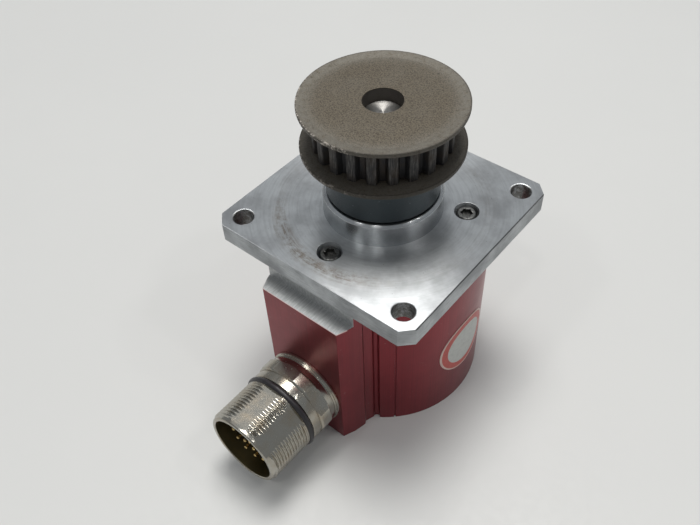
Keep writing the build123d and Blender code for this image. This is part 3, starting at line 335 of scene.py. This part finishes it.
def blackOxide(look):
    f = Finish("blackOxide")
    radius = f.far(f.x, f.y)
    grain = f.noise(2.6, 4.0, 0.7)
    patch = f.noise(0.28, 3.0, 0.6)
    colour = f.mix(f.span(patch, 0.35, 0.7), look["colour"], look["brown"])
    # the tooth tips are lighter in streaks: partly worn metal, partly a painted highlight
    tips = f.span(radius, look["tipRadius"] - 0.35, look["tipRadius"] - 0.05)
    streak = f.noise(1.0, 4.0, 0.7, f.stretched(3.2, 3.2, 0.35))
    colour = f.mix(tips * f.span(streak, 0.42, 0.68), colour, look["light"])
    hub = f.span(f.z, look["hubTop"], look["hubTop"] - 0.3)
    colour = f.mix(hub * 0.85, colour, look["hub"])
    scuffs = f.span(f.noise(0.8, 4.0, 0.75), 0.62, 0.72) * hub
    colour = f.mix(scuffs * 0.45, colour, (0.20, 0.22, 0.23))
    # the bore's wall is painted a lighter warm grey than the oxide: painted light inside the bore
    bore = f.span(radius, 5.6, 5.3) * f.span(f.z, look["topLevel"] + 0.1, look["topLevel"])
    colour = f.mix(bore * 0.8, colour, (0.105, 0.095, 0.085))
    sheet, sheetRough = sheetTone(f, sheetLook)[:2]
    top = f.span(f.z, look["topLevel"], look["topLevel"] + 0.1)
    colour = f.mix(top, colour, sheet)
    rough = (0.46 + f.span(grain, 0.3, 0.7) * 0.14 - hub * 0.14) * (1.0 - top) + sheetRough * top
    normal = f.bump(grain, 0.045, f.bump(f.rings(f.z, 2.4, 2.0), 0.006))
    return f.surface({"Base Color": colour, "Metallic": 0.6, "Roughness": rough, "Normal": normal})


def steel(name, colour, dark, rough, graining=2.0, relief=0.006):
    f = Finish(name)
    grain = f.noise(graining, 4.0, 0.7)
    shade = f.mix(f.span(grain, 0.35, 0.7), colour, dark)
    normal = f.bump(f.rings(f.z, 5.0, 3.0), relief, f.bump(grain, relief))
    rough = rough + f.span(grain, 0.3, 0.7) * 0.12
    return f.surface({"Base Color": shade, "Metallic": 1.0, "Roughness": rough, "Normal": normal})


def turnedEnd(name, colour, dark, rough):
    f = Finish(name)
    radius = f.far(f.x, f.y)
    grain = f.noise(1.4, 4.0, 0.7)
    shade = f.mix(f.span(grain, 0.35, 0.7), colour, dark)
    normal = f.bump(f.rings(radius, 7.0, 2.0), 0.004)
    rough = rough + f.span(grain, 0.3, 0.7) * 0.06
    return f.surface({"Base Color": shade, "Metallic": 1.0, "Roughness": rough, "Normal": normal,
                      "Anisotropic": 0.85, "Anisotropic Rotation": 0.25})


def rubber(name):
    f = Finish(name)
    grain = f.noise(3.0, 3.0, 0.6)
    dust = f.span(f.noise(0.7, 4.0, 0.7), 0.5, 0.8)
    colour = f.mix(dust * 0.35, (0.016, 0.014, 0.016), (0.09, 0.08, 0.075))
    return f.surface({"Base Color": colour, "Roughness": 0.38 + dust * 0.25, "Normal": f.bump(grain, 0.008)})


def moulded(name, colour, other, rough=0.5, relief=0.01):
    f = Finish(name)
    grain = f.noise(2.5, 4.0, 0.6)
    shade = f.mix(f.span(grain, 0.35, 0.7), colour, other)
    return f.surface({"Base Color": shade, "Roughness": rough + f.span(grain, 0.3, 0.7) * 0.1,
                      "Normal": f.bump(grain, relief)})


def circuitBoard(name, colour, track):
    f = Finish(name)
    cells = f.node("ShaderNodeTexVoronoi", {"feature": "DISTANCE_TO_EDGE", "distance": "CHEBYCHEV"},
                   {"Vector": f.place, "Scale": 0.5})
    lines = f.span(cells, 0.10, 0.06)
    shade = f.mix(lines * 0.6, colour, track)
    return f.surface({"Base Color": shade, "Roughness": 0.35 + f.noise(3.0, 2.0) * 0.15,
                      "Normal": f.bump(lines, 0.02)})


discLook = {"trackRadius": 17.0, "trackHalf": 1.2, "lines": 256.0}


def codeGlass(look):
    # clear glass with one ring of dark radial lines
    f = Finish("codeGlass")
    radius = f.far(f.x, f.y)
    turn = f.angle(f.y, f.x)
    bars = f.node("ShaderNodeMath", {"operation": "SINE"}, {0: turn * look["lines"]}) > 0.0
    track = f.span(abs(radius - look["trackRadius"]), look["trackHalf"] + 0.05, look["trackHalf"]) * bars
    shade = f.mix(track, (0.80, 0.88, 0.87), (0.22, 0.24, 0.25))
    return f.surface({"Base Color": shade, "Roughness": 0.05 + track * 0.1, "Metallic": track * 0.9,
                      "Alpha": 0.35 + track * 0.6})


labelLook = {"level": -36.15, "bodyRadius": 29.15, "rim": 9.5, "ring": 7.4,
             "red": (0.50, 0.060, 0.045), "white": (0.52, 0.53, 0.50), "outline": (0.62, 0.45, 0.40)}


def printedLabel(look):
    # a blank round sticker with a plain coloured border
    f = Finish("printedLabel")
    radius = f.far(f.angle(f.y, f.x) * look["bodyRadius"], f.z - look["level"])  # measured round the body
    ring = f.span(radius, look["ring"] - 0.08, look["ring"] + 0.08)
    rim = f.span(radius, look["rim"] - 0.06, look["rim"] + 0.06)
    wear = f.noise(0.8, 4.0, 0.7)
    scratches = f.noise(1.0, 3.0, 0.6, f.stretched(0.5, 0.5, 4.0))
    red = f.mix(f.span(wear, 0.35, 0.7) * 0.4, look["red"], (0.33, 0.05, 0.04))
    white = f.mix(f.span(wear, 0.4, 0.75) * 0.5, look["white"], (0.38, 0.38, 0.36))
    white = f.mix(f.span(scratches, 0.60, 0.70) * 0.3, white, (0.30, 0.31, 0.30))
    colour = f.mix(ring, white, red)
    colour = f.mix(rim, colour, look["outline"])
    return f.surface({"Base Color": colour, "Roughness": 0.32 + f.span(wear, 0.3, 0.7) * 0.12,
                      "Normal": f.bump(wear, 0.006)})


print("finishes ready")


def dress(node, material):
    nodes[node].data.materials.clear()
    nodes[node].data.materials.append(material)


def addPiece(name, mesh, material, node, sharp=32.0):
    # a shown piece that stands for a CAD node, on the same body
    mesh.materials.clear()
    mesh.materials.append(material)
    for face in mesh.polygons:
        face.use_smooth = True
    mesh.set_sharp_from_angle(angle=math.radians(sharp))
    piece = bpy.data.objects.new(name, mesh)
    bpy.context.scene.collection.objects.link(piece)
    even = piece.modifiers.new("even", "WEIGHTED_NORMAL")  # keeps the flat faces flat
    even.keep_sharp = True
    even.weight = 100
    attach(piece, nodes[node]["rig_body"])
    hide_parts(node)
    return piece


softening = {"weld": 0.002, "flat": 0.4, "sharpest": 28.0, "segments": 2, "fullness": 0.6}


def softened(name, node, material, width, keepSharp=None):
    # the CAD shape with its sharp edges broken, apart from those that keepSharp picks out
    form = bmesh.new()
    form.from_mesh(nodes[node].data)
    bmesh.ops.remove_doubles(form, verts=form.verts, dist=softening["weld"] * mm)
    flat, sharpest = math.radians(softening["flat"]), math.radians(softening["sharpest"])
    bmesh.ops.dissolve_limit(form, angle_limit=flat, verts=form.verts, edges=form.edges)
    edges = [e for e in form.edges if e.is_manifold and e.calc_face_angle(0) > sharpest]
    edges = [e for e in edges if not keepSharp or not keepSharp(e.verts[0].co / mm)]
    bmesh.ops.bevel(form, geom=edges, offset=width * mm, offset_type="OFFSET", segments=softening["segments"],
                    profile=softening["fullness"], affect="EDGES", clamp_overlap=False)
    mesh = bpy.data.meshes.new(name)
    form.to_mesh(mesh)
    form.free()
    return addPiece(name, mesh, material, node)


def rounded(points, size):
    # a profile with each inner corner replaced by a short curve
    made = [points[0]]
    for before, corner, after in zip(points, points[1:], points[2:]):
        a, b, c = np.array(before), np.array(corner), np.array(after)
        reach = min(size, np.linalg.norm(a - b) * 0.45, np.linalg.norm(c - b) * 0.45)
        start = b + (a - b) / np.linalg.norm(a - b) * reach
        end = b + (c - b) / np.linalg.norm(c - b) * reach
        for t in (0.0, 0.5, 1.0):
            made.append(tuple((1 - t) ** 2 * start + 2 * t * (1 - t) * b + t * t * end))
    made.append(points[-1])
    return made


def spun(name, profile, steps, place, rule):
    # a closed profile of (along, radius) turned about an axis; the rule shifts each point by its angle
    turn = np.linspace(0.0, 2 * math.pi, steps, endpoint=False)
    along = np.repeat(np.array([p[0] for p in profile])[:, None], steps, 1)
    radius = np.repeat(np.array([p[1] for p in profile])[:, None], steps, 1)
    turns = np.repeat(turn[None, :], len(profile), 0)
    along, radius = rule(along, radius, turns)
    points = place(along, radius, turns).reshape(-1, 3) * mm
    rows = len(profile)
    faces = []
    for row in range(rows):
        low, high = row * steps, ((row + 1) % rows) * steps
        for i in range(steps):
            j = (i + 1) % steps
            faces.append((low + i, low + j, high + j, high + i))
    mesh = bpy.data.meshes.new(name)
    mesh.from_pydata(points.tolist(), [], faces)
    return mesh


def aroundShaft(along, radius, turn):
    return np.stack([radius * np.cos(turn), radius * np.sin(turn), along], -1)


def outwards(mesh):
    form = bmesh.new()
    form.from_mesh(mesh)
    bmesh.ops.recalc_face_normals(form, faces=form.faces)
    form.to_mesh(mesh)
    form.free()


plateMaterial = turnedPlate(plateLook)
softened("flangePlate", "square_flange", plateMaterial, 0.16)
housingMaterial = redAnodised(anodisedLook)
softened("housingBody", "housing", housingMaterial, 0.14)
screwSteel = steel("screwSteel", (0.20, 0.20, 0.19), (0.08, 0.08, 0.08), 0.28, 1.6, 0.01)
softened("flangeScrews", "flange_screws", screwSteel, 0.12)
print("flange and housing made")

rimShape = {"inner": 14.85, "bent": 2.7, "sheet": 1.1, "edge": 0.22, "steps": 256,
            "wave": 0.05, "waveTurn": 0.7, "dent": 0.03}


def sheetRim(name, node, material, shape):
    # a sheet ring bent away from the belt at its edge, slightly wavy and not quite round there
    low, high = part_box(node)
    outer = high.x / mm
    top, bottom = high.z / mm, low.z / mm
    inner, flat = shape["inner"], outer - shape["bent"]
    rise = (top - bottom) - shape["sheet"]
    if node == "pulley_top_rim":
        beltSide, outside, bend = bottom, top, rise
    else:
        beltSide, outside, bend = top, bottom, -rise
    profile = [(beltSide, inner), (beltSide, flat), (beltSide + bend, outer),
               (outside, outer), (outside - bend, flat), (outside - bend, inner)]
    profile = profile[:1] + rounded(profile[1:], shape["edge"])

    def waved(along, radius, turn):
        share = np.clip((radius - flat) / (outer - flat), 0, 1)
        wave = shape["wave"] * share * np.sin(2 * turn + shape["waveTurn"])
        dent = shape["dent"] * share * (1 + np.sin(5 * turn))
        return along - wave * np.sign(bend), radius - dent

    mesh = spun(name, profile, shape["steps"], aroundShaft, waved)
    outwards(mesh)
    return addPiece(name, mesh, material, node)


def onPulleyTop(at):
    # the hub's outer edge, which lies flush in the top rim
    return at.z > 32.9 and at.xy.length > 8


topSheet = wornSheet(sheetLook, "wornTopSheet")
sheetRim("pulleyTopRim", "pulley_top_rim", topSheet, rimShape)
# the bottom rim gets the same sheet finish, darkened as painted shade
bottomSheet = wornSheet(sheetLook, "wornShadedBottomSheet", 0.50)
sheetRim("pulleyBottomRim", "pulley_bottom_rim", bottomSheet, rimShape)
oxide = blackOxide(oxideLook)
softened("pulleyTeeth", "pulley", oxide, 0.16, onPulleyTop)
setScrewSteel = steel("setScrewSteel", (0.085, 0.10, 0.105), (0.05, 0.06, 0.062), 0.4)
softened("pulleyScrews", "pulley_set_screws", setScrewSteel, 0.10)
shaftSteel = turnedEnd("shaftSteel", (0.56, 0.54, 0.51), (0.40, 0.39, 0.37), 0.32)
softened("shaftBar", "shaft", shaftSteel, 0.08)
print("pulley made")

# depths are measured back from the mouth, and radii from the connector's own axis
shellShape = {"insertFront": 10.4, "insertBack": 14.9, "socketRadius": 9.9, "mouthEdge": 0.2, "corner": 0.08,
              "leadRadius": 11.05, "leadEdge": 0.3, "leadEnd": 1.15, "leadStep": 0.2,
              "threadPitch": 1.0, "threadRadius": 11.5, "threadDepth": 0.50,
              "threadFrom": 1.5, "threadTo": 14.0, "runIn": 0.6, "runOut": 0.8, "perPitch": 13,
              "grooveStart": 0.86, "grooveFlank": 0.62,
              "flatRadius": 10.75, "flatAngles": (45.0, 92.0, 225.0, 272.0),
              "flatFrom": 0.9, "flatHalfTurn": 0.5,  # the half turn is in radians
              "ringFrom": 14.2, "ringTo": 16.0, "ringFloor": 10.3,
              "shoulderRadius": 11.75, "shoulderEdge": 0.2,
              "hexFrom": 18.7, "hexTo": 22.8, "hexHalf": 11.85, "hexTurn": 37.0,
              "hexCorner": 12.5, "hexEdge": 0.45,
              "neckRadius": 11.65, "neckGrooveFrom": 24.45, "neckGrooveTo": 24.8, "neckGrooveFloor": 11.4,
              "baseFront": 25.4, "baseRadius": 11.95, "towerFace": 26.5,
              "tailRadius": 9.0, "tailEnd": 32.1, "tailBore": 7.7, "steps": 300}
shellLow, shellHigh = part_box("connector_shell")
axisLevel = (shellLow.z + shellHigh.z) / 2 / mm
mouth = -shellLow.y / mm


def besideAxis(depth, radius, turn):
    # depth is measured back from the mouth; the angle runs from +X to +Z
    return np.stack([radius * np.cos(turn), depth - mouth, axisLevel + radius * np.sin(turn)], -1)


def shellProfile(s):
    socket, lead, edge = s["socketRadius"], s["leadRadius"], s["leadEdge"]
    front = [(s["insertFront"], socket), (s["mouthEdge"], socket), (0.0, socket + s["mouthEdge"]),
             (0.0, lead - edge), (edge, lead), (s["leadEnd"], lead),
             (s["leadEnd"] + s["leadStep"], s["threadRadius"])]
    length = s["threadTo"] - s["threadFrom"]
    count = int(length * s["perPitch"])
    thread = [(s["threadFrom"] + length * i / count, s["threadRadius"]) for i in range(count + 1)]
    ring, ringEnd, shoulder, step = s["ringFrom"], s["ringTo"], s["shoulderRadius"], s["shoulderEdge"]
    back = [(ring, s["threadRadius"]), (ring, s["ringFloor"]), (ringEnd, s["ringFloor"]),
            (ringEnd, shoulder - step), (ringEnd + step, shoulder), (s["hexFrom"], shoulder)]
    slope, corner, neck = s["hexEdge"], s["hexCorner"], s["neckRadius"]
    back += [(s["hexFrom"], corner - slope), (s["hexFrom"] + slope, corner), (s["hexTo"] - slope, corner),
             (s["hexTo"], corner - slope), (s["hexTo"], neck)]
    back += [(s["neckGrooveFrom"], neck), (s["neckGrooveFrom"], s["neckGrooveFloor"]),
             (s["neckGrooveTo"], s["neckGrooveFloor"]), (s["neckGrooveTo"], neck)]
    back += [(s["baseFront"], neck), (s["baseFront"], s["baseRadius"]), (s["towerFace"], s["baseRadius"])]
    back += [(s["towerFace"], s["tailRadius"]), (s["tailEnd"], s["tailRadius"])]
    back += [(s["tailEnd"], s["tailBore"]), (s["insertBack"], s["tailBore"]), (s["insertBack"], socket)]
    return rounded(front, s["corner"]) + thread + rounded(back, s["corner"])


def shellRule(depth, radius, turn):
    # the thread's helical groove, then its flats, then the hexagon
    s = shellShape
    inThread = (depth >= s["threadFrom"]) & (depth <= s["threadTo"]) & (radius > s["threadRadius"] - 0.1)
    reach = mouth - depth
    phase = np.abs((reach / s["threadPitch"] - turn / (2 * math.pi)) % 1.0 * 2 - 1)
    groove = np.clip((s["grooveStart"] - phase) / s["grooveFlank"], 0, 1)
    rising = np.clip((depth - s["threadFrom"]) / s["runIn"], 0, 1)
    ends = rising * np.clip((s["threadTo"] - depth) / s["runOut"], 0, 1)
    radius = np.where(inThread, radius - s["threadDepth"] * groove * ends, radius)
    besideFlats = (depth > s["flatFrom"]) & (depth < s["ringFrom"] - 0.05)
    for degrees in s["flatAngles"]:
        off = np.abs((turn - math.radians(degrees) + math.pi) % (2 * math.pi) - math.pi)
        limit = s["flatRadius"] / np.cos(np.minimum(off, 1.2))  # 1.2 keeps clear of the cosine's zero
        radius = np.where(besideFlats & (off < s["flatHalfTurn"]), np.minimum(radius, limit), radius)
    sixth = math.radians(60)
    off = (turn - math.radians(s["hexTurn"]) + sixth / 2) % sixth - sixth / 2
    hexLimit = s["hexHalf"] / np.cos(off)
    besideHex = (depth > s["hexFrom"] - 0.01) & (depth < s["hexTo"] + 0.01)
    inHex = besideHex & (radius > s["shoulderRadius"] + 0.15)
    return depth, np.where(inHex, np.minimum(radius, hexLimit), radius)


nickel = nickelPlate(nickelLook, axisLevel)
shellMesh = spun("connectorShell", shellProfile(shellShape), shellShape["steps"], besideAxis, shellRule)
outwards(shellMesh)
addPiece("connectorShell", shellMesh, nickel, "connector_shell", 40.0)
dress("connector_ring", rubber("ringRubber"))
dress("connector_insert", moulded("insertPlastic", (0.11, 0.088, 0.035), (0.05, 0.042, 0.02), 0.42))
dress("contact_pins", steel("pinGold", (0.95, 0.72, 0.34), (0.80, 0.56, 0.22), 0.22, 1.5, 0.004))
print("connector made")

dress("round_label", printedLabel(labelLook))
plainAluminium = steel("plainAluminium", (0.60, 0.61, 0.61), (0.42, 0.43, 0.44), 0.30)
coverAluminium = steel("coverAluminium", (0.24, 0.24, 0.25), (0.14, 0.14, 0.15), 0.38, 0.8, 0.01)
bearingSteel = steel("bearingSteel", (0.62, 0.62, 0.63), (0.42, 0.42, 0.43), 0.14, 1.0, 0.002)
springSteel = steel("springSteel", (0.24, 0.25, 0.28), (0.12, 0.12, 0.14), 0.30)
cageBrass = steel("cageBrass", (0.66, 0.48, 0.20), (0.48, 0.33, 0.13), 0.28)
postBrass = steel("postBrass", (0.62, 0.52, 0.30), (0.45, 0.36, 0.19), 0.30)
blackRubber = rubber("blackRubber")
boardGreen = circuitBoard("boardGreen", (0.015, 0.09, 0.04), (0.05, 0.20, 0.10))
chipBlack = moulded("chipBlack", (0.016, 0.016, 0.018), (0.03, 0.03, 0.032), 0.45, 0.006)
plugPlastic = moulded("plugPlastic", (0.03, 0.028, 0.026), (0.05, 0.047, 0.043), 0.5)
canMetal = steel("canMetal", (0.55, 0.56, 0.58), (0.38, 0.39, 0.41), 0.3)
tinnedWire = steel("tinnedWire", (0.62, 0.62, 0.62), (0.45, 0.45, 0.44), 0.25)
ribbonGrey = moulded("ribbonGrey", (0.36, 0.36, 0.37), (0.28, 0.28, 0.29), 0.45)
discGlass = codeGlass(discLook)
lensGlass = moulded("lensGlass", (0.70, 0.78, 0.78), (0.60, 0.68, 0.68), 0.05, 0.001)
inside = {
    plainAluminium: ["bearing_carrier", "disc_hub", "disc_clamp_ring", "inner_spacer", "outer_spacer"],
    coverAluminium: ["rear_cover"],
    bearingSteel: [n for n in nodes if "_bearing_" in n and "cage" not in n],
    cageBrass: ["front_bearing_cage", "rear_bearing_cage"],
    springSteel: ["preload_spring", "carrier_retaining_ring", "shaft_retaining_ring", "seal_spring"],
    postBrass: ["sensor_board_posts", "main_board_posts", "rear_cover_posts"],
    blackRubber: ["shaft_seal", "front_housing_seal", "rear_cover_gasket", "connector_base_seal"],
    boardGreen: ["sensor_board", "main_board", "connector_board"],
    chipBlack: ["sensor_chip", "main_board_chips", "light_source"],
    plugPlastic: ["board_link", "ribbon_header", "light_holder"],
    canMetal: ["main_board_capacitors"],
    tinnedWire: ["light_source_leads"],
    ribbonGrey: ["ribbon_cable"],
    discGlass: ["code_disc", "reticle"],
    lensGlass: ["collimator_lens"],
    nickelPlate(nickelLook, axisLevel, "nickelNut", 0.1): ["connector_nut"],
    screwSteel: ["rear_cover_screws", "disc_hub_set_screw", "disc_clamp_screws", "light_holder_screws"],
}
for material, names in inside.items():
    for name in names:
        dress(name, material)
print("inner pieces dressed")

# places and sizes of the floor, the lamps and the camera are in metres, lamp power in watts
studio = {"floorColour": (0.64, 0.64, 0.625), "floorSize": 4.0, "floorGap": 0.00002,
          "world": (0.84, 0.88, 0.92), "worldStrength": 0.33,
          "lamps": {  # place, size, power, colour
              "overhead": ((-0.16, 0.22, 1.25), 0.55, 12.5, (1.0, 0.99, 0.97)),
              "back": ((-1.05, 1.15, 1.25), 1.3, 1.6, (0.97, 0.985, 1.0)),
              "nearLeft": ((0.20, -0.56, 1.08), 0.07, 0.9, (1.0, 0.99, 0.97)),
              "farLeft": ((-0.20, -0.66, 1.02), 0.07, 0.7, (1.0, 0.99, 0.97)),
              "nearRight": ((0.68, 0.14, 1.02), 0.07, 0.7, (1.0, 0.99, 0.97)),
              "farRight": ((0.58, 0.37, 1.02), 0.06, 0.5, (1.0, 0.99, 0.97))}}


def pale(look):
    f = Finish("paleTable")
    cloud = f.noise(0.006, 4.0, 0.6)
    grain = f.noise(0.5, 3.0, 0.6)
    shade = f.mix(f.span(cloud, 0.3, 0.7) * 0.25, look["floorColour"], (0.58, 0.58, 0.57))
    return f.surface({"Base Color": shade, "Roughness": 0.45 + f.span(grain, 0.3, 0.7) * 0.1,
                      "Normal": f.bump(grain, 0.01)})


floorMesh = bpy.data.meshes.new("table")
half = studio["floorSize"] / 2
floorLevel = cadLow.z - studio["floorGap"]
corners = [(x * half, y * half, floorLevel) for x, y in ((-1, -1), (1, -1), (1, 1), (-1, 1))]
floorMesh.from_pydata(corners, [], [(0, 1, 2, 3)])
floorMesh.materials.append(pale(studio))
table = bpy.data.objects.new("table", floorMesh)
bpy.context.scene.collection.objects.link(table)

world = bpy.data.worlds.new("room")
bpy.context.scene.world = world
world.use_nodes = True
world.node_tree.nodes["Background"].inputs["Color"].default_value = (*studio["world"], 1.0)
world.node_tree.nodes["Background"].inputs["Strength"].default_value = studio["worldStrength"]
for name, (place, size, power, colour) in studio["lamps"].items():
    lamp = bpy.data.lights.new(name, "AREA")
    lamp.shape = "SQUARE"
    lamp.size = size
    lamp.energy = power
    lamp.color = colour
    holder = bpy.data.objects.new(name, lamp)
    holder.location = place
    holder.rotation_euler = (-Vector(place)).to_track_quat("-Z", "Y").to_euler()
    bpy.context.scene.collection.objects.link(holder)

cameraLook = {"place": (0.09204, -0.11843, 0.13883), "lens": 39.50, "right": (0.7723, 0.6343, -0.0346),
              "up": (-0.4469, 0.5812, 0.6800), "back": (0.4514, -0.5098, 0.7324)}
camera = bpy.data.objects.new("camera", bpy.data.cameras.new("camera"))
camera.data.lens = cameraLook["lens"]
camera.data.sensor_width = 36.0
camera.data.clip_start = 0.01
turned = Matrix((cameraLook["right"], cameraLook["up"], cameraLook["back"])).transposed()
camera.matrix_world = Matrix.Translation(cameraLook["place"]) @ turned.to_4x4()
bpy.context.scene.collection.objects.link(camera)
bpy.context.scene.camera = camera
bpy.context.scene.view_settings.view_transform = "Standard"
print("light and camera set")
